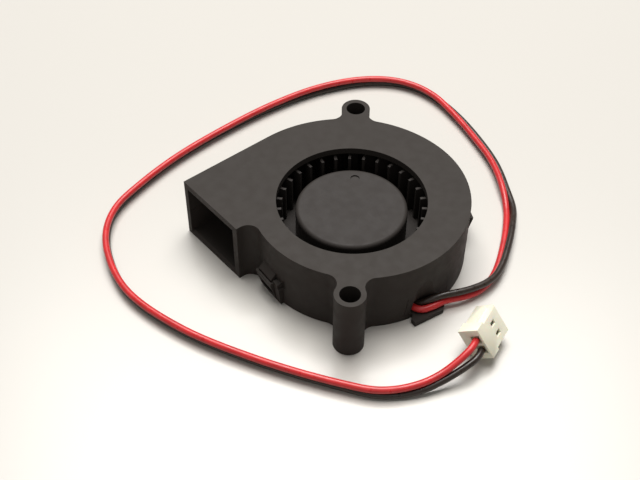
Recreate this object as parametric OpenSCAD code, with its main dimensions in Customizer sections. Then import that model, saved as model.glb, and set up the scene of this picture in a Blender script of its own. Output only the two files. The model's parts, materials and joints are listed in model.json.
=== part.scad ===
// Centrifugal (blower) fan, 50 x 15 mm class, with a brushless motor in the hub of its wheel.
// Origin: on the wheel's axis at the base's underside. +Z points out of the air inlet and the outlet blows
// towards -Y. All lengths are in millimetres and all angles in degrees.

/* [Housing] */
// Overall thickness of the closed housing
body_h = 15; // [14:0.5:20]
// Thickness of the base's floor
floor_t = 1.2; // [1:0.1:1.4]
// Thickness of the cover round the inlet
cover_t = 1.5; // [1.2:0.1:1.8]
// Thickness of the side walls
wall_t = 1.2; // [1:0.1:1.6]
// Height of the parting line between base and cover
parting_z = 6.2; // [5.8:0.1:7]
// Radius of the air inlet in the cover
inlet_r = 16.1; // [15.5:0.1:17]
// Thickness of the base's lip inside the cover's wall
lip_t = 0.55; // [0.4:0.05:0.6]
// Height of the base's lip above the parting line
lip_h = 0.8; // [0.4:0.1:1.5]
// Gap between moulded parts that close on each other
mould_gap = 0.08; // [0.05:0.01:0.15]

/* [Volute] */
// Radius of the outer wall where it meets the straight side
volute_r = 27; // [26.5:0.1:29]
// Centre of that radius, seen from above
volute_center = [-0.1, -1.15];
// Step of the arc centre along Y to the next, smaller arc
volute_step_y = 2.9; // [2:0.1:3.2]
// Step of the arc centre along X to the smallest arc
volute_step_x = 0.8; // [0.2:0.1:1]

/* [Outlet] */
// Distance from the wheel's axis to the outlet's face
outlet_reach = 24.3; // [23.5:0.1:28]
// Distance from the wheel's axis to the outlet's inner side, outside
outlet_side = 8.35; // [7.5:0.05:9]
// Thickness of the wall between outlet and volute
tongue_t = 1.5; // [1.2:0.1:2]
// Radius of the hollow between outlet and volute
scallop_r = 2.6; // [1.5:0.1:3]
// Radius of the tongue's nose inside
nose_r = 0.5; // [0.3:0.1:0.8]
// Bevel on the floor's edge in the outlet
outlet_bevel = 0.5; // [0.2:0.1:0.8]

/* [Mounting ears] */
// Distances between the two mounting holes along X and Y
ear_span = [42, 38.5];
// Point midway between the mounting holes
ear_middle = [-1, 1.25];
// Outer radius of each ear's post
ear_r = 3.25; // [3:0.05:4]
// Radius of each mounting hole
ear_hole_r = 2.15; // [1.5:0.05:2.25]
// Radius of the fillets between ear and volute
ear_blend = 2.6; // [1.5:0.1:3.5]

/* [Snap latches] */
// Width of a latch arm
latch_w = 4.5; // [3:0.1:6]
// How far a latch arm stands out from the wall
latch_out = 1.2; // [1:0.1:1.6]
// Height of an arm's sloped shoulder above the parting line
latch_rise = 1.2; // [0.8:0.1:2]
// Length of a latch arm below the parting line
latch_drop = 3; // [2.6:0.1:3.6]
// Thickness of the loop round a latch arm
loop_t = 0.4; // [0.3:0.05:0.6]
// Width of the shoulder beside the loop
shoulder_w = 1.6; // [1.2:0.1:2.5]
// Gap between a latch arm and its loop
latch_gap = 0.12; // [0.08:0.01:0.2]

/* [Wire exit] */
// Outside diameter of each lead
lead_d = 1.5; // [1.2:0.1:1.6]
// Angle at which the wire window's skirt starts and ends
skirt_angles = [-11, 15];
// Angle of the middle of the hollow above the leads
scoop_angle = -2; // [-4:0.5:3]
// Radius of the hollow above the leads
scoop_r = 4.2; // [3.5:0.1:5]
// Depth of the hollow at the floor
scoop_depth = 2.1; // [1.5:0.1:2.6]
// Height at which the hollow runs out
scoop_top = 10.5; // [9:0.5:12]
// Reach of the tab under the leads from the axis
tab_reach = 26.1; // [25.5:0.1:28]
// Width of the tab under the leads
tab_w = 8; // [6:0.2:10]
// Corner chamfer of the tab
tab_chamfer = 0.8; // [0.4:0.1:1.2]

/* [Wheel] */
// Outer radius of the blades
wheel_r = 19.4; // [19:0.1:19.6]
// Inner radius of the blades
blade_in_r = 15; // [14:0.1:15.5]
// Number of blades
blade_count = 31; // [21:2:35]
// Thickness of a blade
blade_t = 0.6; // [0.5:0.05:0.8]
// Distance that the blades end inside the rims' edges
blade_inset = 0.15; // [0.1:0.05:0.3]
// Radius of a blade's curve
blade_curve = 4.6; // [4:0.1:6]
// Height of the wheel's underside
wheel_z = 3.2; // [3.1:0.1:3.6]
// Thickness of the disc that carries the blades
disc_t = 0.8; // [0.6:0.1:1]
// Gap between blade tops and the cover
blade_gap = 0.5; // [0.4:0.1:0.9]
// Width of the ring round the blade tops
rim_w = 0.8; // [0.5:0.1:1.2]
// Outer radius of the hub
hub_r = 12; // [11.5:0.1:12.5]
// Height of the hub's face below the housing's top
hub_drop = 2.4; // [2:0.1:3]
// Thickness of the hub's face
hub_face_t = 1; // [0.8:0.1:1.2]
// Edge radius of the hub's face
hub_round = 0.9; // [0.5:0.1:1]

/* [Motor] */
// Radius of the shaft
shaft_r = 1; // [0.75:0.05:1.1]
// Wall of the steel rotor cup
cup_t = 0.6; // [0.5:0.05:0.7]
// Thickness of the ring magnet
magnet_t = 1.2; // [1:0.1:1.5]
// Gap between magnet and stator
air_gap = 0.3; // [0.2:0.05:0.4]
// Number of stator poles
pole_count = 4; // [4:2:6]
// Width of each pole's arm
pole_w = 2; // [1.6:0.1:2.4]
// Thickness of the windings on a pole
winding_t = 0.8; // [0.5:0.1:1]
// Thickness of the circuit board
board_t = 0.8; // [0.6:0.1:1]
// Radius of the circuit board
board_r = 9.6; // [9:0.1:9.8]
// Radial gap between shaft and bearing
running_gap = 0.03; // [0.02:0.01:0.05]
// Gap between pressed or glued parts
seat_gap = 0.02; // [0.01:0.01:0.03]

/* [Connector] */
// Width of the plug across its two ways
plug_w = 7.4; // [7:0.1:9]
// Thickness of the plug
plug_h = 4.8; // [4.6:0.1:6]
// Length of the plug
plug_l = 8.4; // [8:0.1:12]
// Spacing of the two ways
plug_pitch = 2.5; // [2:0.1:2.54]

/* [Hidden] */
$fn = 96;

// Colours of the materials
housing_color = [0.21, 0.2, 0.19];
wheel_color = [0.19, 0.18, 0.18];
steel_color = [0.62, 0.63, 0.65];
magnet_color = [0.16, 0.15, 0.15];
brass_color = [0.78, 0.62, 0.3];
bronze_color = [0.6, 0.42, 0.24];
core_color = [0.5, 0.51, 0.53];
nylon_color = [0.9, 0.89, 0.84];
copper_color = [0.75, 0.36, 0.16];
board_color = [0.08, 0.35, 0.18];
chip_color = [0.1, 0.1, 0.11];
ceramic_color = [0.66, 0.55, 0.4];
solder_color = [0.78, 0.79, 0.8];
red_color = [0.78, 0.1, 0.1];
black_color = [0.09, 0.08, 0.08];
plug_color = [0.93, 0.92, 0.85];
tin_color = [0.8, 0.8, 0.78];

far = 60;        // longer than the object, for cutting shapes
over = 1;        // how far a cut runs past the face that it opens

// Volute arcs: each is [centre, radius], largest first
arc_a = [volute_center, volute_r];
arc_b = [volute_center + [0, volute_step_y], volute_r - volute_step_y];
arc_c = [arc_b[0] + [volute_step_x, 0], arc_b[1] - volute_step_x];

// Ears, nearest the outlet's open side first
ear_near = ear_middle + [ear_span[0], -ear_span[1]] / 2;
ear_far = ear_middle + [-ear_span[0], ear_span[1]] / 2;

// Heights of the wheel and hub
hub_z = body_h - hub_drop;
cover_z = body_h - cover_t;
blade_z = cover_z - blade_gap;
wheel_disc_z = wheel_z + disc_t;

// Board, stacked up from the floor above the leads
board_z = floor_t + lead_d + 0.3;
board_top = board_z + board_t;

// Rotor cup and magnet, from the hub inwards
hub_wall_t = 0.95;
cup_r = hub_r - hub_wall_t;
cup_top = hub_z - hub_face_t;
cup_bottom = wheel_disc_z;
magnet_end_gap = 0.6;
magnet_r = cup_r - cup_t - seat_gap;
magnet_z = board_top + magnet_end_gap;
magnet_h = cup_top - cup_t - magnet_end_gap - magnet_z;
stator_r = magnet_r - magnet_t - air_gap;

// Bearing parts, stacked up from the floor
bearing_wall = 1.25;
tube_wall = 0.5;
bearing_r = shaft_r + running_gap + bearing_wall;
tube_in_r = bearing_r + seat_gap;
tube_r = tube_in_r + tube_wall;
pad_t = 0.3;
shaft_z = floor_t + pad_t + seat_gap;
shaft_into_hub = 0.5;
clip_z = shaft_z + 0.35;
clip_t = 0.2;
clip_groove = 0.25;
clip_r = shaft_r + 0.9;
bearing_z = clip_z + clip_t + 0.25;
wheel_boss_r = shaft_r + 1.4;
wheel_boss_h = 1.4;
wheel_boss_z = cup_top - wheel_boss_h;
tube_top = wheel_boss_z - 0.3;
oil_ring_t = 0.3;
bearing_top = tube_top - oil_ring_t - 0.1;

// Stator, midway between the board and the cup's inside
coil_overhang = winding_t + 0.1;
flange_t = 0.5;
stator_end_gap = 0.6;
core_z = board_top + stator_end_gap + coil_overhang + flange_t;
core_top = cup_top - cup_t - stator_end_gap - coil_overhang - flange_t;
stack_h = core_top - core_z;
boss_r = tube_r + 1.4;
board_hole_r = tube_r + seat_gap;
core_hub_r = tube_r + 1.6;
shoe_t = 0.8;
shoe_gap_deg = 12;
coil_in_r = core_hub_r + 0.5;
coil_out_r = stator_r - shoe_t - 0.3;
coil_half_w = pole_w / 2 + winding_t + 0.05;
coil_end = sqrt(coil_out_r * coil_out_r - coil_half_w * coil_half_w) - 0.05;

// Pins round the lower insulator's foot
pin_r = 0.3;
pin_at = core_hub_r + 0.7;
pin_below = 0.4;

// Leads: pitch of the pair, and where the pair leaves the wall
lead_r = lead_d / 2;
pair_half = lead_r + 0.03;
lead_sides = 8;
// Each point is [x, y, height of the lower lead's underside, turn of the red lead round the black one],
// where 0 is towards the middle of the loop, 90 above, and 180 away from the middle
lead_route = [
    [21.9, -1.75, 1.2, -180], [22.9, -1.55, 1.2, -180], [23.8, -0.95, 1.2, -162], [24.3, 0.1, 1.2, -145],
    [24.8, 1.35, 1.2, -127], [25.3, 3.25, 1.2, -107], [25.9, 4.9, 1.1, -99], [27.05, 7.8, 0.85, -100],
    [27.8, 11.1, 0.5, -95], [27.9, 13.6, 0.28, -80], [27.4, 16.6, 0.1, -62], [25.9, 20.3, 0, -52],
    [22.7, 25.6, 0, -44], [18.8, 31, 0, -31], [14.5, 35.8, 0, 0], [9.6, 39.3, 0, 38], [2, 43.8, 0, 40],
    [-8, 47.4, 0, 34], [-17.5, 49.7, 0, 41], [-25, 50.4, 0, 58], [-31.5, 49.2, 0, 63], [-37, 45.8, 0, 72],
    [-42, 39.4, 0, 82], [-46, 29.5, 0, 88], [-48.3, 17, 0, 73], [-48.9, 3, 0, 60], [-47.9, -13, 0, 58],
    [-45.3, -25.5, 0, 62], [-42.2, -33.8, 0, 74], [-37.2, -39.4, 0, 90], [-30, -43.3, 0, 99],
    [-19, -45.6, 0, 104], [-4, -42.9, 0, 105], [12.8, -35.7, 0, 104], [27.8, -27, 0, 100],
    [34.2, -22.3, 0, 86], [38, -16.6, 0.3, 70], [39.9, -10.9, 1.3, 60]];
// Tails inside the housing: straight back from the window to solder joints under the board
tail_under = 3.2;
tail_l = norm([lead_route[0][0], lead_route[0][1]]) - board_r + tail_under;
tail_heading = atan2(lead_route[1][1] - lead_route[0][1], lead_route[1][0] - lead_route[0][0]);

// Plug: where it lies and how it leans on its edge
plug_turn = 110;
plug_roll = 54;
plug_way_rise = 0.8;
plug_z = plug_w / 2 * sin(plug_roll) + plug_h / 2 * cos(plug_roll);
plug_at = [39.3, -1.3, plug_z];
plug_lead_in = 2.6;

// ---------------------------------------------------------------- outlines

function unit(v) = v / norm(v);

// Centre of a circle of radius rho that touches two circles from outside, to the left of the line a to b
function touching_center(a, ra, b, rb, rho, side) =
    let (d = norm(b - a), along = (d * d + pow(ra + rho, 2) - pow(rb + rho, 2)) / (2 * d))
    a + unit(b - a) * along + side * sqrt(pow(ra + rho, 2) - along * along) * [-(b - a)[1], (b - a)[0]] / d;

// The web between two round outlines, hollowed to radius rho on one side
module blend_web(a, ra, b, rb, rho, side) {
    center = touching_center(a, ra, b, rb, rho, side);
    difference() {
        polygon([a, b, center]);
        translate(center) circle(rho);
    }
}

// The corner between the line x = x_line and the outside of an arc, rounded to radius rho
module line_arc_corner(x_line, arc, rho) {
    cx = x_line + rho;
    cy = arc[0][1] - sqrt(pow(arc[1] + rho, 2) - pow(cx - arc[0][0], 2));
    apex_y = arc[0][1] - sqrt(pow(arc[1], 2) - pow(x_line - arc[0][0], 2));
    touch = arc[0] + unit([cx, cy] - arc[0]) * arc[1];
    difference() {
        polygon([[x_line, apex_y], [x_line, cy], [cx, cy], touch]);
        translate([cx, cy]) circle(rho);
    }
}

// Part of an arc's disc inside a rectangle of opposite corners p and q
module arc_part(arc, inset, p, q) {
    intersection() {
        translate(arc[0]) circle(arc[1] - inset);
        translate([min(p[0], q[0]), min(p[1], q[1])]) square([abs(p[0] - q[0]), abs(p[1] - q[1])]);
    }
}

// The scroll that the air runs round in, set in from the outer outline
module scroll(inset, side_x) {
    arc_part(arc_a, inset, arc_a[0], arc_a[0] + [-far, far]);
    arc_part(arc_b, inset, arc_b[0], arc_b[0] + [far, far]);
    arc_part(arc_c, inset, [side_x, arc_c[0][1]], [far, -far]);
    square([2 * abs(side_x), 2 * abs(side_x)], center = true);
}

// The duct from the scroll to the outlet
module duct(inset, side_x, front_y) {
    left = arc_a[0][0] - arc_a[1] + inset;
    translate([left, front_y]) square([side_x - left, arc_a[0][1] - front_y]);
}

// The housing's outer outline without its ears
module body_outline() {
    scroll(0, -outlet_side);
    duct(0, -outlet_side, -outlet_reach);
    line_arc_corner(-outlet_side, arc_c, scallop_r);
}

// The hollow inside walls of thickness inset, open at the outlet
module cavity(inset) {
    side_x = -outlet_side - tongue_t + (wall_t - inset);
    inner_c = [arc_c[0], arc_c[1] - inset];
    scroll(inset, side_x);
    duct(inset, side_x, -outlet_reach - over);
    line_arc_corner(side_x, inner_c, nose_r);
}

module ear_outline(center, arc) {
    translate(center) circle(ear_r);
    for (side = [-1, 1]) blend_web(arc[0], arc[1], center, ear_r, ear_blend, side);
}

module ear_outlines() {
    ear_outline(ear_near, arc_c);
    ear_outline(ear_far, arc_a);
}

module ear_holes() {
    for (center = [ear_near, ear_far])
        translate([center[0], center[1], -over]) cylinder(r = ear_hole_r, h = body_h + 2 * over);
}

// A ring of rectangular section about the axis
module ring(r_out, r_in, z, h) {
    translate([0, 0, z]) difference() {
        cylinder(r = r_out, h = h);
        translate([0, 0, -over]) cylinder(r = r_in, h = h + 2 * over);
    }
}

// A wedge about the axis between two angles, for cutting
module wedge(from, to, z, h) {
    translate([0, 0, z]) linear_extrude(h)
        polygon([[0, 0], far * [cos(from), sin(from)], far * [cos((from + to) / 2), sin((from + to) / 2)],
            far * [cos(to), sin(to)]]);
}

// ---------------------------------------------------------------- latches and wire exit

// Places of the latches: each is [origin, turn, distance from origin to the wall]
latch_places = [
    [arc_c[0], -94.7, arc_c[1]],
    [arc_b[0], 62, arc_b[1]],
    [[0, -9], 180, arc_a[1] - arc_a[0][0]]];

module at_latch(place) {
    translate([place[0][0], place[0][1], 0]) rotate(place[1]) translate([place[2], 0, 0]) children();
}

latch_root = 0.4;
latch_skin = 0.15;
catch_depth = 0.45;
catch_h = 1;
catch_w = 3;

// Arm on the cover: a sloped shoulder over a flat tongue with a pocket for the base's catch
module latch_arm() {
    difference() {
        rotate([90, 0, 0]) linear_extrude(latch_w, center = true)
            polygon([[-latch_root, parting_z], [-latch_root, parting_z + latch_rise],
                [0, parting_z + latch_rise], [latch_out, parting_z], [latch_out, parting_z - latch_drop],
                [latch_skin, parting_z - latch_drop], [latch_skin, parting_z]]);
        translate([-over, -catch_w / 2 - latch_gap, parting_z - latch_drop + catch_h - latch_gap])
            cube([over + catch_depth + latch_gap, catch_w + 2 * latch_gap, catch_h + 2 * latch_gap]);
    }
}

// Bulge on the base that guides the arm, with a catch inside and a lower shoulder beside it
module latch_keeper() {
    half = latch_w / 2 + latch_gap;
    loop_out = latch_out + latch_gap + loop_t;
    loop_top = parting_z - 0.6;
    shoulder_top = parting_z - 0.2;
    shoulder_out = latch_out * 0.75;
    root = 0.6;
    difference() {
        union() {
            bulge(loop_out, loop_top, -half - loop_t, half + loop_t, root);
            bulge(shoulder_out, shoulder_top, half, half + loop_t + shoulder_w, root);
        }
        translate([0, -half, floor_t]) cube([latch_out + latch_gap, 2 * half, body_h]);
    }
    translate([-root, -catch_w / 2, parting_z - latch_drop + catch_h]) cube([root + catch_depth, catch_w, catch_h]);
}

// A swelling of the wall between two places along it, flush at the floor and standing out at its top
module bulge(out, top, from, to, root) {
    foot_out = 0.3;
    rim_h = 0.5;
    translate([0, to, 0]) rotate([90, 0, 0]) linear_extrude(to - from)
        polygon([[-root, 0], [foot_out, 0], [out, top - rim_h], [out, top], [-root, top]]);
}

// Small pocket across the seam beside a latch's shoulder
module latch_pocket() {
    pocket_w = 0.9;
    pocket_depth = 0.6;
    pocket_h = 2;
    translate([-pocket_depth, latch_w / 2 + latch_gap + loop_t + shoulder_w - pocket_w / 3, parting_z - 0.7 * pocket_h])
        cube([pocket_depth + 2 * over, pocket_w, pocket_h]);
}

// The hollow that leads the wires out: a leaning cylinder, deepest at the floor
module scoop(extra) {
    lean = atan2(scoop_depth, scoop_top - floor_t);
    wall_x = arc_b[1];
    rotate(scoop_angle) translate([wall_x - scoop_depth + scoop_r, 0, floor_t]) rotate([0, lean, 0])
        translate([0, 0, -far / 4]) cylinder(r = scoop_r + extra, h = far / 2);
}

skirt_z = floor_t + mould_gap;

// Slot through the wall for the pair of leads, open at the floor
module lead_window() {
    window_h = lead_d + 0.15;
    window_w = 2 * (pair_half + lead_r) + 0.2;
    at_tails() translate([-window_w, -window_w / 2, 0]) cube([2 * window_w, window_w, floor_t + window_h]);
}

// The wall's thickening behind the hollow, between two heights
module scoop_backing(z0, z1) {
    intersection() {
        scoop(wall_t);
        translate([0, 0, z0]) linear_extrude(z1 - z0) body_outline();
    }
}

module skirt_band(margin, z0, z1) {
    intersection() {
        translate([0, 0, z0]) linear_extrude(z1 - z0) difference() {
            body_outline();
            cavity(wall_t);
        }
        wedge(skirt_angles[0] - margin, skirt_angles[1] + margin, z0 - over, z1 - z0 + 2 * over);
    }
}

// ---------------------------------------------------------------- housing

module upper_housing() {
    color(housing_color) difference() {
        union() {
            difference() {
                translate([0, 0, parting_z]) linear_extrude(body_h - parting_z) {
                    body_outline();
                    ear_outlines();
                }
                translate([0, 0, parting_z - over]) linear_extrude(cover_z - parting_z + over) cavity(wall_t);
                translate([0, 0, parting_z - over]) linear_extrude(lip_h + mould_gap + over)
                    cavity(wall_t - lip_t - mould_gap);
            }
            skirt_band(0, skirt_z, parting_z + lip_h + 2 * mould_gap);
            scoop_backing(skirt_z, cover_z + mould_gap);
            for (place = latch_places) at_latch(place) latch_arm();
        }
        scoop(0);
        lead_window();
        ear_holes();
        translate([0, 0, parting_z]) cylinder(r = inlet_r, h = body_h);
        at_latch(latch_places[0]) latch_pocket();
    }
}

// Plain floor with a bevelled edge in the outlet
module base_floor() {
    left = arc_a[0][0] - arc_a[1] + wall_t;
    right = -outlet_side - tongue_t;
    difference() {
        linear_extrude(floor_t) {
            body_outline();
            ear_outlines();
        }
        translate([left, -outlet_reach, floor_t]) rotate([45, 0, 0])
            translate([0, -outlet_bevel / sqrt(2), -outlet_bevel / sqrt(2)])
                cube([right - left, outlet_bevel * sqrt(2), outlet_bevel * sqrt(2)]);
    }
}

module wire_tab() {
    tab_turn = -8.5;
    tab_from = -0.8;
    neck = 1;
    lobe = 1.4;
    inner = arc_c[1] - wall_t;
    rotate(tab_turn) linear_extrude(floor_t)
        polygon([[inner, tab_from + neck], [tab_reach - lobe - neck, tab_from + neck], [tab_reach - lobe, tab_from],
            [tab_reach, tab_from], [tab_reach, tab_from + tab_w - tab_chamfer],
            [tab_reach - tab_chamfer, tab_from + tab_w], [inner, tab_from + tab_w]]);
}

module base_housing() {
    groove_r = 12.9;
    groove_w = 0.6;
    groove_depth = 0.2;
    color(housing_color) difference() {
        union() {
            base_floor();
            wire_tab();
            difference() {
                linear_extrude(parting_z) {
                    body_outline();
                    ear_outlines();
                }
                translate([0, 0, floor_t]) linear_extrude(parting_z) cavity(wall_t);
                translate([0, 0, -over]) linear_extrude(floor_t + over) body_outline();
                skirt_band(mould_gap * 2, floor_t - over, parting_z + over);
                intersection() {
                    scoop(wall_t + mould_gap);
                    translate([0, 0, floor_t - over]) cylinder(r = far, h = body_h);
                }
            }
            difference() {
                translate([0, 0, parting_z - over]) linear_extrude(lip_h + over) difference() {
                    cavity(wall_t - lip_t);
                    cavity(wall_t);
                }
                wedge(skirt_angles[0] - 1, skirt_angles[1] + 1, 0, body_h);
                translate([-far, -outlet_reach - far, 0]) cube([2 * far, far, body_h]);
            }
            translate([0, 0, floor_t - over / 2]) cylinder(r = boss_r, h = board_z - floor_t + over / 2);
            for (place = latch_places) at_latch(place) latch_keeper();
        }
        translate([0, 0, floor_t]) cylinder(r = tube_r + seat_gap, h = board_z);
        ring(groove_r, groove_r - groove_w, -over, over + groove_depth);
        ear_holes();
        at_latch(latch_places[0]) latch_pocket();
    }
}

// ---------------------------------------------------------------- wheel

// One blade seen from above: a band of a circle between the blades' inner and outer radii
module blade_outline() {
    mid_r = (blade_in_r + wheel_r) / 2;
    intersection() {
        translate([mid_r - blade_curve * 0.35, -blade_curve]) difference() {
            circle(blade_curve + blade_t);
            circle(blade_curve);
        }
        difference() {
            circle(wheel_r - blade_inset);
            circle(blade_in_r);
        }
        translate([0, -blade_curve]) square([far, far]);
    }
}

// Hub shell: a cup with a rounded rim, and the disc that carries the blades
module wheel_profile() {
    difference() {
        union() {
            square([hub_r - hub_round, hub_z]);
            square([hub_r, hub_z - hub_round]);
            translate([hub_r - hub_round, hub_z - hub_round]) circle(hub_round);
            square([wheel_r, wheel_disc_z]);
        }
        translate([-over, -over]) square([cup_r + over, cup_top + over]);
        translate([-over, -over]) square([wheel_r + 2 * over, wheel_z + over]);
    }
}

module impeller() {
    dimple_r = 1;
    dimple_depth = 0.3;
    dimple_turn = 134;
    color(wheel_color) difference() {
        union() {
            rotate_extrude() wheel_profile();
            for (i = [0 : blade_count - 1]) rotate(i * 360 / blade_count)
                translate([0, 0, wheel_disc_z - disc_t / 2])
                    linear_extrude(blade_z - blade_inset - wheel_disc_z + disc_t / 2) blade_outline();
            ring(wheel_r, wheel_r - rim_w, blade_z - rim_w, rim_w);
            translate([0, 0, wheel_boss_z]) cylinder(r = wheel_boss_r, h = wheel_boss_h + hub_face_t / 2);
        }
        translate([0, 0, wheel_boss_z - over])
            cylinder(r = shaft_r + seat_gap, h = cup_top + shaft_into_hub - wheel_boss_z + over);
        rotate(dimple_turn) translate([hub_r - 3 * dimple_r, 0, hub_z - dimple_depth]) cylinder(r = dimple_r, h = over);
    }
}

module rotor_cup() {
    color(steel_color) rotate_extrude() difference() {
        square([cup_r - seat_gap, cup_top - seat_gap]);
        translate([-over, -over]) square([cup_r - cup_t + over, cup_top - cup_t + over]);
        translate([-over, -over]) square([wheel_boss_r + seat_gap + over, cup_top + 2 * over]);
        translate([-over, -over]) square([cup_r + 2 * over, cup_bottom + over]);
    }
}

module ring_magnet() {
    color(magnet_color) ring(magnet_r, magnet_r - magnet_t, magnet_z, magnet_h);
}

module motor_shaft() {
    tip = 0.2;
    color(steel_color) rotate_extrude() difference() {
        polygon([[0, shaft_z], [shaft_r - tip, shaft_z], [shaft_r, shaft_z + tip],
            [shaft_r, cup_top + shaft_into_hub - seat_gap], [0, cup_top + shaft_into_hub - seat_gap]]);
        translate([shaft_r - clip_groove, clip_z - seat_gap]) square([over, clip_t + 2 * seat_gap]);
    }
}

// ---------------------------------------------------------------- bearing

// Split ring that rides in the shaft's groove and holds the wheel down
module retaining_clip() {
    slot_w = 0.5;
    color(nylon_color) difference() {
        ring(clip_r, shaft_r - clip_groove + seat_gap, clip_z, clip_t);
        translate([0, -slot_w / 2, clip_z - over]) cube([far, slot_w, clip_t + 2 * over]);
    }
}

module thrust_pad() {
    color(nylon_color) translate([0, 0, floor_t]) cylinder(r = tube_in_r - seat_gap, h = pad_t);
}

module sleeve_bearing() {
    bevel = 0.2;
    color(bronze_color) rotate_extrude() difference() {
        translate([shaft_r + running_gap, bearing_z]) square([bearing_wall, bearing_top - bearing_z]);
        for (z = [bearing_z, bearing_top])
            translate([bearing_r, z]) rotate(45) square(bevel * sqrt(2), center = true);
    }
}

module oil_ring() {
    oil_gap = 0.15;
    color(black_color) ring(tube_in_r - seat_gap, shaft_r + oil_gap, bearing_top + 0.05, oil_ring_t);
}

module bearing_tube() {
    color(brass_color) ring(tube_r, tube_in_r, floor_t, tube_top - floor_t);
}

// ---------------------------------------------------------------- stator

// Plan of the poles: a hub, an arm for each pole and, with shoes, an arc at each arm's end
module pole_plan(grow, with_shoes) {
    difference() {
        union() {
            circle(core_hub_r);
            for (i = [0 : pole_count - 1]) rotate(i * 360 / pole_count) {
                translate([0, -pole_w / 2 - grow]) square([stator_r - shoe_t / 2, pole_w + 2 * grow]);
                if (with_shoes) pole_shoe();
            }
        }
        circle(tube_r + seat_gap);
    }
}

module pole_shoe() {
    half = 180 / pole_count - shoe_gap_deg / 2;
    intersection() {
        difference() {
            circle(stator_r);
            circle(stator_r - shoe_t);
        }
        polygon([[0, 0], far * [cos(half), -sin(half)], [far, 0], far * [cos(half), sin(half)]]);
    }
}

module stator_core() {
    color(core_color) translate([0, 0, core_z]) linear_extrude(stack_h) pole_plan(0, true);
}

// Moulded cover on one face of the stack, with a wall that keeps each winding in
module insulator(z, wall_z, wall_h) {
    translate([0, 0, z]) linear_extrude(flange_t) intersection() {
        pole_plan(0, false);
        circle(coil_out_r + flange_t);
    }
    translate([0, 0, wall_z]) linear_extrude(wall_h) intersection() {
        difference() {
            circle(coil_out_r + flange_t);
            circle(coil_out_r);
        }
        for (i = [0 : pole_count - 1]) rotate(i * 360 / pole_count)
            translate([0, -pole_w / 2 - winding_t]) square([far, pole_w + 2 * winding_t]);
    }
}

module upper_insulator() {
    color(nylon_color) insulator(core_top, core_top, flange_t + coil_overhang);
}

// Lower cover: as the upper one, with a foot on the circuit board and a socket for each pin
module lower_insulator() {
    socket_r = pin_r + 0.45;
    color(nylon_color) difference() {
        union() {
            insulator(core_z - flange_t, core_z - flange_t - coil_overhang, flange_t + coil_overhang);
            ring(core_hub_r, tube_r + seat_gap, board_top, core_z - board_top);
            at_pins() translate([0, 0, board_top]) cylinder(r = socket_r, h = core_z - flange_t - board_top);
        }
        at_pins() cylinder(r = pin_r + seat_gap, h = core_z);
        translate([0, 0, board_top - over]) cylinder(r = tube_r + seat_gap, h = body_h);
    }
}

module at_pins() {
    for (i = [0 : pole_count - 1]) rotate((i + 0.5) * 360 / pole_count) translate([pin_at, 0, 0]) children();
}

// A rectangle with round corners, as a difference of two such outlines
module rounded_rect(w, h, r) {
    square([w - 2 * r, h], center = true);
    square([w, h - 2 * r], center = true);
    for (x = [-1, 1], y = [-1, 1]) translate([x * (w / 2 - r), y * (h / 2 - r)]) circle(r);
}

module winding() {
    core_w = pole_w + 2 * seat_gap;
    core_h = stack_h + 2 * flange_t + 2 * seat_gap;
    translate([coil_in_r, 0, core_z + stack_h / 2]) rotate([90, 0, 90])
        linear_extrude(coil_end - coil_in_r) difference() {
            rounded_rect(core_w + 2 * winding_t, core_h + 2 * winding_t, winding_t);
            square([core_w, core_h], center = true);
        }
}

module stator_windings() {
    color(copper_color) for (i = [0 : pole_count - 1]) rotate(i * 360 / pole_count) winding();
}

// Pins that carry the winding ends down through the board
module winding_pins() {
    pin_top = core_z - flange_t - 0.3;
    color(tin_color) at_pins() translate([0, 0, board_z - pin_below]) cylinder(r = pin_r, h = pin_top - board_z + pin_below);
}

// ---------------------------------------------------------------- electronics

part_gap = 0.02;

module circuit_board() {
    color(board_color) difference() {
        ring(board_r, board_hole_r, board_z, board_t);
        at_pins() translate([0, 0, board_z - over]) cylinder(r = pin_r + 2 * seat_gap, h = board_t + 2 * over);
    }
}

// A chip on the board: body and legs along its two long sides
module board_chip(radius, angle, size, legs) {
    leg_w = 0.35;
    leg_h = 0.3;
    leg_out = 0.5;
    rotate(angle) translate([radius, 0, board_top]) {
        translate([-size[0] / 2, -size[1] / 2, part_gap]) cube([size[0], size[1], size[2]]);
        for (side = [-1, 1], k = [0 : legs - 1])
            translate([side * (size[0] + leg_out) / 2 - leg_out / 2, (k + 0.5) * size[1] / legs - size[1] / 2 - leg_w / 2,
                part_gap]) cube([leg_out, leg_w, leg_h]);
    }
}

// Sensor that stands on its legs between two poles, next to the magnet
module hall_sensor() {
    color(chip_color) board_chip(board_r - 2, 45, [1.5, 3, 1.2], 2);
}

module driver_chip() {
    color(chip_color) board_chip(board_r - 2.1, 135, [2, 3, 0.8], 3);
}

// A small block with metal ends, laid across the board's radius
module board_block(radius, angle, size) {
    rotate(angle) translate([radius - size[0] / 2, -size[1] / 2, board_top + part_gap]) cube(size);
}

module chip_capacitor() {
    color(ceramic_color) board_block(board_r - 2, 225, [1.2, 2, 0.8]);
}

module chip_resistors() {
    color(chip_color) for (inset = [1.4, 2.7]) board_block(board_r - inset, 315, [0.7, 1.6, 0.45]);
}

// ---------------------------------------------------------------- leads

// Place of one lead at point i of the route: side is 1 for the red lead and -1 for the black one
function route_dir(i) =
    let (a = lead_route[max(i - 1, 0)], b = lead_route[min(i + 1, len(lead_route) - 1)])
    unit([b[0] - a[0], b[1] - a[1], 0]);
function lead_point(i, side) =
    let (p = lead_route[i], d = route_dir(i), turn = p[3], lift = pair_half * abs(sin(turn)))
    [p[0], p[1], p[2] + lead_r + lift]
        + side * pair_half * (cos(turn) * [-d[1], d[0], 0] + sin(turn) * [0, 0, 1]);

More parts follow.
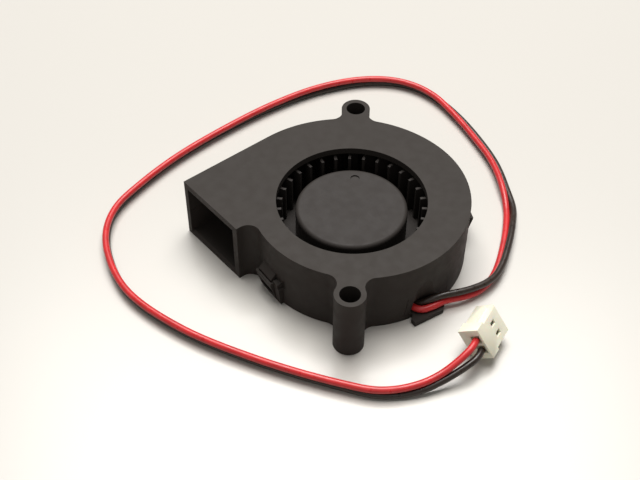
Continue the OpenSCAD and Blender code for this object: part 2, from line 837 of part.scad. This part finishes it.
// A point given in the plug's own frame: along it, across it to the right, and out of its face
function plug_point(along, across, out) =
    let (d = [cos(plug_turn), sin(plug_turn), 0], r = [d[1], -d[0], 0], up = [0, 0, 1])
    plug_at + along * d + across * (cos(plug_roll) * r - sin(plug_roll) * up)
        + out * (cos(plug_roll) * up + sin(plug_roll) * r);

// The whole centreline of one lead, from the wall to the plug
function lead_path(side) = concat(
    [for (i = [0 : len(lead_route) - 1]) lead_point(i, side)],
    [for (back = [plug_lead_in, 0]) plug_point(-back, -side * plug_pitch / 2, plug_way_rise)]);

// A tube of lead_sides sides swept along points, with one ring of corners at each point
module swept_tube(path, r) {
    n = len(path);
    dirs = [for (i = [0 : n - 1]) unit(path[min(i + 1, n - 1)] - path[max(i - 1, 0)])];
    corners = [for (i = [0 : n - 1]) let (d = dirs[i], x = unit([-d[1], d[0], 0]), y = cross(d, x))
        for (k = [0 : lead_sides - 1]) let (a = (k + 0.5) * 360 / lead_sides)
            path[i] + r * (cos(a) * x + sin(a) * y)];
    walls = [for (i = [0 : n - 2], k = [0 : lead_sides - 1]) let (next = (k + 1) % lead_sides)
        [i * lead_sides + k, (i + 1) * lead_sides + k, (i + 1) * lead_sides + next, i * lead_sides + next]];
    start = [[for (k = [0 : lead_sides - 1]) k]];
    end = [[for (k = [lead_sides - 1 : -1 : 0]) (n - 1) * lead_sides + k]];
    polyhedron(corners, concat(walls, start, end));
}

module red_lead() {
    color(red_color) swept_tube(lead_path(1), lead_r);
}

module black_lead() {
    color(black_color) swept_tube(lead_path(-1), lead_r);
}

// The frame of the tails: its origin on the floor where the pair leaves the wall, +X outwards
module at_tails() {
    translate([lead_route[0][0], lead_route[0][1], 0]) rotate(tail_heading) children();
}

// The stretch of one lead inside the housing, straight across the floor
module lead_tail(side) {
    at_tails() translate([-tail_l, -side * pair_half, floor_t + lead_r]) rotate([0, 90, 0])
        cylinder(r = lead_r, h = tail_l);
}

module red_tail() {
    color(red_color) lead_tail(1);
}

module black_tail() {
    color(black_color) lead_tail(-1);
}

// Solder between each lead's bared end and the board's underside
module solder_joints() {
    blob_r = 0.6;
    color(solder_color) at_tails() for (side = [-1, 1])
        translate([-tail_l - blob_r, -side * pair_half, floor_t + lead_r])
            cylinder(r = blob_r, h = board_z - floor_t - lead_r);
}

// ---------------------------------------------------------------- plug

module at_plug() {
    translate(plug_at) rotate(plug_turn) rotate([plug_roll, 0, 0]) children();
}

// Housing of the two-way plug: ribs at the sides, a window over each contact, and open ends
module plug_housing() {
    rib_w = 0.5;
    rib_l = 2.6;
    way_w = 1.9;
    way_h = 2.1;
    window_w = 1;
    window_l = 1.5;
    window_at = 4.9;
    nose_cut = 0.5;
    color(plug_color) at_plug() difference() {
        union() {
            translate([0, -plug_w / 2 + rib_w, -plug_h / 2]) cube([plug_l, plug_w - 2 * rib_w, plug_h]);
            translate([0, -plug_w / 2, -plug_h / 2]) cube([rib_l, plug_w, plug_h]);
            for (side = [-1, 1])
                translate([0, side * (plug_w / 2 - rib_w / 2) - rib_w / 2, -rib_w / 2]) cube([plug_l - 1, rib_w, rib_w * 2]);
        }
        for (side = [-1, 1]) {
            translate([-over, side * plug_pitch / 2 - way_w / 2, plug_way_rise - way_h / 2])
                cube([plug_l + 2 * over, way_w, way_h]);
            translate([window_at - window_l / 2, side * plug_pitch / 2 - window_w / 2, 0])
                cube([window_l, window_w, plug_h]);
        }
        translate([plug_l - nose_cut, -plug_w / 2 - over, plug_h / 2 - nose_cut])
            cube([nose_cut + over, plug_w + 2 * over, nose_cut + over]);
    }
}

// One crimped contact in each way of the plug
module crimp_terminals() {
    contact = [5.2, 1.5, 1.7];
    barrel_l = 2;
    color(tin_color) at_plug() for (side = [-1, 1])
        translate([barrel_l, side * plug_pitch / 2 - contact[1] / 2, plug_way_rise - contact[2] / 2]) difference() {
            cube(contact);
            translate([1, 0.25, 0.25]) cube([contact[0], contact[1] - 0.5, contact[2] - 0.5]);
        }
}

upper_housing();
base_housing();
impeller();
rotor_cup();
ring_magnet();
motor_shaft();
retaining_clip();
thrust_pad();
sleeve_bearing();
oil_ring();
bearing_tube();
stator_core();
upper_insulator();
lower_insulator();
stator_windings();
winding_pins();
circuit_board();
hall_sensor();
driver_chip();
chip_capacitor();
chip_resistors();
solder_joints();
red_tail();
black_tail();
red_lead();
black_lead();
plug_housing();
crimp_terminals();
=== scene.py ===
import json
import math

import bpy
from mathutils import Matrix, Vector


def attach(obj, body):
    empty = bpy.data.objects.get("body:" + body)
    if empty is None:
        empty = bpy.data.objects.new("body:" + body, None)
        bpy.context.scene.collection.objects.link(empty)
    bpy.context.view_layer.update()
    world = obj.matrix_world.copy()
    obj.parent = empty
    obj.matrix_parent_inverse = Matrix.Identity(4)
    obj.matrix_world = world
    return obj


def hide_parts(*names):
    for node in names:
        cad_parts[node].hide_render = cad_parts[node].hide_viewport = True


# A small centrifugal blower on a pale floor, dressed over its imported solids. Everything is in metres, in the
# packed row's frame: +Z is out of the inlet, -Y out of the outlet, and the floor is at z = 0.

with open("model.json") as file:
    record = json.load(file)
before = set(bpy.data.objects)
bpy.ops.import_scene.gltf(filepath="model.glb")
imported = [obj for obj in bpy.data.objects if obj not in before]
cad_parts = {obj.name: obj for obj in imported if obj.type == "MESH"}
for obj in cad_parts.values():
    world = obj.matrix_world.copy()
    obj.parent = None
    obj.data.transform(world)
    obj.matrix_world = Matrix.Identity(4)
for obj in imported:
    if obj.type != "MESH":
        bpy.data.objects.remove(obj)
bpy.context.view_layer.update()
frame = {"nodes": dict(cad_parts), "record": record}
nodes = frame["nodes"]
MM = 0.001

# ------------------------------------------------------------------ camera

AZIMUTH, ELEVATION, ROLL = 49.616, 45.986, 0.425     # degrees
TARGET = Vector((-6.018, -3.659, 0.0)) * MM
DISTANCE = 240.953 * MM
LENS = 60.745


def add_camera():
    azimuth, elevation = math.radians(AZIMUTH), math.radians(ELEVATION)
    back = Vector((math.sin(azimuth) * math.cos(elevation), -math.cos(azimuth) * math.cos(elevation),
                   math.sin(elevation)))
    data = bpy.data.cameras.new("camera")
    data.lens, data.sensor_width = LENS, 36.0
    data.clip_start, data.clip_end = 0.01, 5.0
    camera = bpy.data.objects.new("camera", data)
    bpy.context.collection.objects.link(camera)
    turn = (-back).to_track_quat("-Z", "Y").to_matrix().to_4x4()
    camera.matrix_world = (Matrix.Translation(TARGET + back * DISTANCE) @ turn
                           @ Matrix.Rotation(math.radians(ROLL), 4, "Z"))
    bpy.context.scene.camera = camera


add_camera()

# ------------------------------------------------------------------ leads

LEAD_R = 0.75          # mm
PAIR_HALF = 0.78       # mm, half the spacing of the two leads
LEAD_ROUNDNESS = 6     # steps in each quarter of a lead's round section
# Each point is x, y, height of the lower lead's underside (mm) and the turn of the red lead round the black
# one in degrees: 0 towards the middle of the loop, 90 above, 180 away from the middle
ROUTE = (
    (21.9, -1.75, 1.2, -180), (22.9, -1.55, 1.2, -180), (23.8, -0.95, 1.2, -162), (24.3, 0.1, 1.2, -145),
    (24.8, 1.35, 1.2, -127), (25.3, 3.25, 1.2, -107), (25.9, 4.9, 1.1, -99), (27.05, 7.8, 0.85, -100),
    (27.8, 11.1, 0.5, -95), (27.9, 13.6, 0.28, -80), (27.4, 16.6, 0.1, -62), (25.9, 20.3, 0, -52),
    (22.7, 25.6, 0, -44), (18.8, 31, 0, -31), (14.5, 35.8, 0, 0), (9.6, 39.3, 0, 38), (2, 43.8, 0, 40),
    (-8, 47.4, 0, 34), (-17.5, 49.7, 0, 41), (-25, 50.4, 0, 58), (-31.5, 49.2, 0, 63), (-37, 45.8, 0, 72),
    (-42, 39.4, 0, 82), (-46, 29.5, 0, 88), (-48.3, 17, 0, 73), (-48.9, 3, 0, 60), (-47.9, -13, 0, 58),
    (-45.3, -25.5, 0, 62), (-42.2, -33.8, 0, 74), (-37.2, -39.4, 0, 90), (-30, -43.3, 0, 99),
    (-19, -45.6, 0, 104), (-4, -42.9, 0, 105), (12.8, -35.7, 0, 104), (27.8, -27, 0, 100),
    (34.2, -22.3, 0, 86), (38, -16.6, 0.3, 70), (39.9, -10.9, 1.3, 60))
PLUG_W, PLUG_H, PLUG_PITCH = 7.4, 4.8, 2.5             # mm
PLUG_TURN, PLUG_ROLL = math.radians(110), math.radians(54)
PLUG_AT = Vector((39.3, -1.3, PLUG_W / 2 * math.sin(PLUG_ROLL) + PLUG_H / 2 * math.cos(PLUG_ROLL)))
PLUG_WAY_RISE = 0.8
PLUG_LEAD_IN = 2.6


def lead_point(i, side):
    x, y, low, turn = ROUTE[i]
    before, after = ROUTE[max(i - 1, 0)], ROUTE[min(i + 1, len(ROUTE) - 1)]
    along = Vector((after[0] - before[0], after[1] - before[1], 0)).normalized()
    turn = math.radians(turn)
    middle = Vector((x, y, low + LEAD_R + PAIR_HALF * abs(math.sin(turn))))
    offset = math.cos(turn) * Vector((-along.y, along.x, 0)) + math.sin(turn) * Vector((0, 0, 1))
    return middle + side * PAIR_HALF * offset


def plug_axes():
    along = Vector((math.cos(PLUG_TURN), math.sin(PLUG_TURN), 0))
    right = Vector((along.y, -along.x, 0))
    up = Vector((0, 0, 1))
    across = math.cos(PLUG_ROLL) * right - math.sin(PLUG_ROLL) * up
    out = math.cos(PLUG_ROLL) * up + math.sin(PLUG_ROLL) * right
    return along, across, out


def plug_point(along, across, out):
    a, b, c = plug_axes()
    return PLUG_AT + along * a + across * b + out * c


def smooth_line(points, step=0.8):
    """Points on one smooth curve through the given ones, about step apart."""
    padded = [points[0] * 2 - points[1], *points, points[-1] * 2 - points[-2]]
    line = []
    for i in range(1, len(padded) - 2):
        p0, p1, p2, p3 = padded[i - 1:i + 3]
        t1 = (p1 - p0).length ** 0.5
        t2 = t1 + (p2 - p1).length ** 0.5
        t3 = t2 + (p3 - p2).length ** 0.5
        count = max(1, round((p2 - p1).length / step))
        for k in range(count):
            t = t1 + (t2 - t1) * k / count
            a1 = p0 * ((t1 - t) / t1) + p1 * (t / t1)
            a2 = p1 * ((t2 - t) / (t2 - t1)) + p2 * ((t - t1) / (t2 - t1))
            a3 = p2 * ((t3 - t) / (t3 - t2)) + p3 * ((t - t2) / (t3 - t2))
            b1 = a1 * ((t2 - t) / t2) + a2 * (t / t2)
            b2 = a2 * ((t3 - t) / (t3 - t1)) + a3 * ((t - t1) / (t3 - t1))
            line.append(b1 * ((t2 - t) / (t2 - t1)) + b2 * ((t - t1) / (t2 - t1)))
    line.append(points[-1])
    return line


def add_lead(name, node, side):
    points = [lead_point(i, side) for i in range(len(ROUTE))]
    points += [plug_point(-PLUG_LEAD_IN, -side * PLUG_PITCH / 2, PLUG_WAY_RISE),
               plug_point(0, -side * PLUG_PITCH / 2, PLUG_WAY_RISE)]
    line = [p * MM for p in smooth_line(points)]
    length = sum((b - a).length for a, b in zip(line, line[1:]))
    curve = bpy.data.curves.new(name, "CURVE")
    curve.dimensions = "3D"
    curve.bevel_depth = LEAD_R * MM
    curve.bevel_resolution = LEAD_ROUNDNESS
    curve.use_fill_caps = True
    spline = curve.splines.new("POLY")
    spline.points.add(len(line) - 1)
    for point, place in zip(spline.points, line):
        point.co = (*place, 1)
    spline.use_smooth = True
    lead = bpy.data.objects.new(name, curve)
    bpy.context.collection.objects.link(lead)
    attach(lead, "housing")
    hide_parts(node)
    return lead, line, length


red_lead, red_line, red_length = add_lead("red_lead_cord", "red_lead", 1)
black_lead, black_line, black_length = add_lead("black_lead_cord", "black_lead", -1)

# ------------------------------------------------------------------ materials


class Shader:
    """One procedural material: a Principled surface whose colour, roughness and bump come from noise."""

    def __init__(self, name, color, roughness, **sockets):
        self.material = bpy.data.materials.new(name)
        self.material.use_nodes = True
        self.tree = self.material.node_tree
        self.surface = self.tree.nodes["Principled BSDF"]
        self.color, self.roughness = color, roughness
        self.surface.inputs["Base Color"].default_value = (*color, 1)
        self.surface.inputs["Roughness"].default_value = roughness
        for key, value in sockets.items():
            self.surface.inputs[key.replace("_", " ")].default_value = value
        self.coordinates = self.tree.nodes.new("ShaderNodeTexCoord").outputs["Object"]
        self.normal = None

    def noise(self, size, detail=2.0, stretch=None, kind="ShaderNodeTexNoise"):
        """A noise whose features are about size metres across; stretch scales it along the axes."""
        source = self.coordinates
        if stretch:
            mapping = self.tree.nodes.new("ShaderNodeMapping")
            mapping.inputs["Scale"].default_value = stretch
            self.tree.links.new(source, mapping.inputs["Vector"])
            source = mapping.outputs["Vector"]
        texture = self.tree.nodes.new(kind)
        texture.inputs["Scale"].default_value = 1 / size
        if kind == "ShaderNodeTexNoise":
            texture.inputs["Detail"].default_value = detail
        self.tree.links.new(source, texture.inputs["Vector"])
        return texture.outputs[0]

    def remap(self, value, low, high, start=0.35, end=0.65):
        node = self.tree.nodes.new("ShaderNodeMapRange")
        node.inputs["From Min"].default_value, node.inputs["From Max"].default_value = start, end
        node.inputs["To Min"].default_value, node.inputs["To Max"].default_value = low, high
        self.tree.links.new(value, node.inputs["Value"])
        return node.outputs[0]

    def tint(self, value, dark, light):
        """Colour between dark and light times the base colour, by a noise."""
        ramp = self.tree.nodes.new("ShaderNodeValToRGB")
        ramp.color_ramp.elements[0].position, ramp.color_ramp.elements[1].position = 0.3, 0.7
        ramp.color_ramp.elements[0].color = (*[min(1, c * dark) for c in self.color], 1)
        ramp.color_ramp.elements[1].color = (*[min(1, c * light) for c in self.color], 1)
        self.tree.links.new(value, ramp.inputs["Fac"])
        self.tree.links.new(ramp.outputs["Color"], self.surface.inputs["Base Color"])
        return self

    def gloss(self, value, spread):
        rough = self.remap(value, self.roughness - spread, self.roughness + spread)
        self.tree.links.new(rough, self.surface.inputs["Roughness"])
        return self

    def bump(self, value, depth, strength=1.0):
        node = self.tree.nodes.new("ShaderNodeBump")
        node.inputs["Distance"].default_value = depth
        node.inputs["Strength"].default_value = strength
        self.tree.links.new(value, node.inputs["Height"])
        if self.normal:
            self.tree.links.new(self.normal, node.inputs["Normal"])
        self.normal = node.outputs["Normal"]
        self.tree.links.new(self.normal, self.surface.inputs["Normal"])
        return self


def moulded(name, color, roughness=0.5, grain=0.00016, depth=0.000012, dark=0.97, light=1.03, **sockets):
    """Injection-moulded plastic: fine spark-eroded grain, faint flow marks and slight differences in gloss."""
    shader = Shader(name, color, roughness, **sockets)
    fine = shader.noise(grain, detail=3)
    broad = shader.noise(0.006, detail=4)
    shader.tint(broad, dark, light).gloss(shader.noise(0.0022, detail=3), 0.05)
    return shader.bump(fine, depth).bump(shader.noise(0.004), 0.00001, 0.5).material


def drawn_metal(name, color, roughness=0.3, stretch=(1, 1, 8), size=0.0003, depth=0.000002, **sockets):
    """Turned or drawn metal: fine lines along one way and slight differences in gloss."""
    shader = Shader(name, color, roughness, Metallic=1.0, **sockets)
    lines = shader.noise(size, detail=3, stretch=stretch)
    shader.tint(shader.noise(0.003), 0.92, 1.06).gloss(lines, 0.08)
    return shader.bump(lines, depth).material


def insulation(name, color, roughness=0.34, light=1.12):
    """Extruded cable insulation: satin, with faint waves and scuffs."""
    shader = Shader(name, color, roughness, **{"Specular_IOR_Level": 0.5})
    shader.tint(shader.noise(0.003, detail=4), 0.88, light).gloss(shader.noise(0.0012, detail=4), 0.08)
    waves = shader.noise(0.0012, detail=3)
    return shader.bump(waves, 0.00003, 0.6).bump(shader.noise(0.00015), 0.000004).material


def wound_copper(name, color):
    """Enamelled wire laid in rows round a pole."""
    shader = Shader(name, color, 0.32, Metallic=0.9)
    wave = shader.tree.nodes.new("ShaderNodeTexWave")
    wave.bands_direction = "DIAGONAL"
    wave.inputs["Scale"].default_value = 1600
    shader.tree.links.new(shader.coordinates, wave.inputs["Vector"])
    shader.tint(shader.noise(0.0008), 0.8, 1.15)
    return shader.bump(wave.outputs["Fac"], 0.00004, 0.8).material


def laminated_steel(name, color):
    """A stack of thin sheets: fine lines across the height."""
    shader = Shader(name, color, 0.42, Metallic=0.9)
    wave = shader.tree.nodes.new("ShaderNodeTexWave")
    wave.bands_direction = "Z"
    wave.inputs["Scale"].default_value = 640
    shader.tree.links.new(shader.coordinates, wave.inputs["Vector"])
    shader.tint(shader.noise(0.0015), 0.85, 1.1)
    return shader.bump(wave.outputs["Fac"], 0.00003, 0.6).material


def circuit_lacquer(name, color):
    """Green solder resist with tracks that show through as slightly raised, paler cells."""
    shader = Shader(name, color, 0.3, **{"Coat_Weight": 0.4})
    cells = shader.noise(0.0016, kind="ShaderNodeTexVoronoi")
    shader.tint(cells, 0.8, 1.5)
    return shader.bump(cells, 0.00002, 0.4).material


MATERIALS = {
    "housing_plastic": moulded("housing_plastic", (0.032, 0.0272, 0.0238), 0.6, Specular_IOR_Level=0.15),
    "wheel_plastic": moulded("wheel_plastic", (0.028, 0.0237, 0.0214), 0.6, Specular_IOR_Level=0.2),
    "cup_steel": drawn_metal("cup_steel", (0.56, 0.57, 0.58), 0.34),
    "magnet": moulded("magnet", (0.05, 0.047, 0.046), 0.6, grain=0.0003),
    "shaft_steel": drawn_metal("shaft_steel", (0.62, 0.62, 0.62), 0.18, stretch=(1, 1, 6), size=0.0002),
    "clip_nylon": moulded("clip_nylon", (0.72, 0.7, 0.6), 0.45),
    "pad_nylon": moulded("pad_nylon", (0.74, 0.72, 0.64), 0.45),
    "bearing_bronze": drawn_metal("bearing_bronze", (0.5, 0.3, 0.13), 0.45, size=0.00012, stretch=(1, 1, 1)),
    "oil_ring": moulded("oil_ring", (0.02, 0.02, 0.02), 0.5),
    "tube_brass": drawn_metal("tube_brass", (0.7, 0.5, 0.2), 0.25),
    "core_steel": laminated_steel("core_steel", (0.4, 0.41, 0.42)),
    "insulator_nylon": moulded("insulator_nylon", (0.74, 0.72, 0.62), 0.45),
    "winding_copper": wound_copper("winding_copper", (0.6, 0.2, 0.07)),
    "tinned_metal": drawn_metal("tinned_metal", (0.66, 0.65, 0.62), 0.3, size=0.0002),
    "board": circuit_lacquer("board", (0.02, 0.13, 0.05)),
    "chip_black": moulded("chip_black", (0.018, 0.018, 0.02), 0.55, grain=0.0001),
    "capacitor_ceramic": moulded("capacitor_ceramic", (0.4, 0.28, 0.16), 0.35, grain=0.0001),
    "solder": drawn_metal("solder", (0.62, 0.63, 0.64), 0.22, size=0.0004, stretch=(1, 1, 1)),
    "red_insulation": insulation("red_insulation", (0.5, 0.02, 0.022)),
    "black_insulation": insulation("black_insulation", (0.022, 0.014, 0.01), light=1.3),
    "plug_nylon": moulded("plug_nylon", (0.8, 0.77, 0.62), 0.42, grain=0.0002, dark=0.97, light=1.03,
                          Subsurface_Weight=0.15, Subsurface_Scale=0.0006),
}


def dress(obj, slot):
    obj.data.materials.clear()
    obj.data.materials.append(MATERIALS[slot])


for entry in frame["record"]["subparts"]:
    dress(nodes[entry["node"]], entry["material_slot"])
dress(red_lead, "red_insulation")
dress(black_lead, "black_insulation")

# ------------------------------------------------------------------ soft edges on the plug

PLUG_EDGE = 0.14                       # mm
SHARP_ANGLE = math.radians(30)


def soften(obj, width):
    """Joins the node's faces along their edges and rounds the sharp ones."""
    for face in obj.data.polygons:
        face.use_smooth = True
    weld = obj.modifiers.new("join", "WELD")
    weld.merge_threshold = 1e-7
    bevel = obj.modifiers.new("round", "BEVEL")
    bevel.width = width * MM
    bevel.segments = 2
    bevel.limit_method = "ANGLE"
    bevel.angle_limit = SHARP_ANGLE
    bevel.harden_normals = True


# The other nodes keep the normals that they carry, which follow their true surfaces
soften(nodes["plug_housing"], PLUG_EDGE)

# ------------------------------------------------------------------ floor and light


def add_floor():
    floor_mesh = bpy.data.meshes.new("floor")
    reach = 3.0
    floor_mesh.from_pydata([(-reach, -reach, 0), (reach, -reach, 0), (reach, reach, 0), (-reach, reach, 0)], [],
                           [(0, 1, 2, 3)])
    floor = bpy.data.objects.new("floor", floor_mesh)
    floor.location.z = -0.00002
    bpy.context.collection.objects.link(floor)
    shader = Shader("floor_white", (0.53, 0.51, 0.475), 0.28)
    floor.data.materials.append(shader.material)


def add_area(name, place, aim, size, power, color=(1, 1, 1)):
    data = bpy.data.lights.new(name, "AREA")
    data.shape, data.size, data.energy, data.color = "SQUARE", size, power, color
    light = bpy.data.objects.new(name, data)
    light.location = place
    light.rotation_mode = "QUATERNION"
    light.rotation_quaternion = (Vector(aim) - Vector(place)).to_track_quat("-Z", "Y")
    bpy.context.collection.objects.link(light)


def add_world():
    world = bpy.data.worlds.new("room")
    bpy.context.scene.world = world
    world.use_nodes = True
    background = world.node_tree.nodes["Background"]
    background.inputs["Color"].default_value = (1, 1, 1, 1)
    background.inputs["Strength"].default_value = 0.2


add_floor()
add_world()
add_area("key", (-0.2, 0.17, 0.78), (0, 0, 0), 0.6, 12.0, (1.0, 0.99, 0.97))
add_area("fill", (0.45, -0.4, 0.55), (0, 0, 0), 0.5, 0.6, (1.0, 0.96, 0.9))

bpy.context.scene.view_settings.view_transform = "Standard"
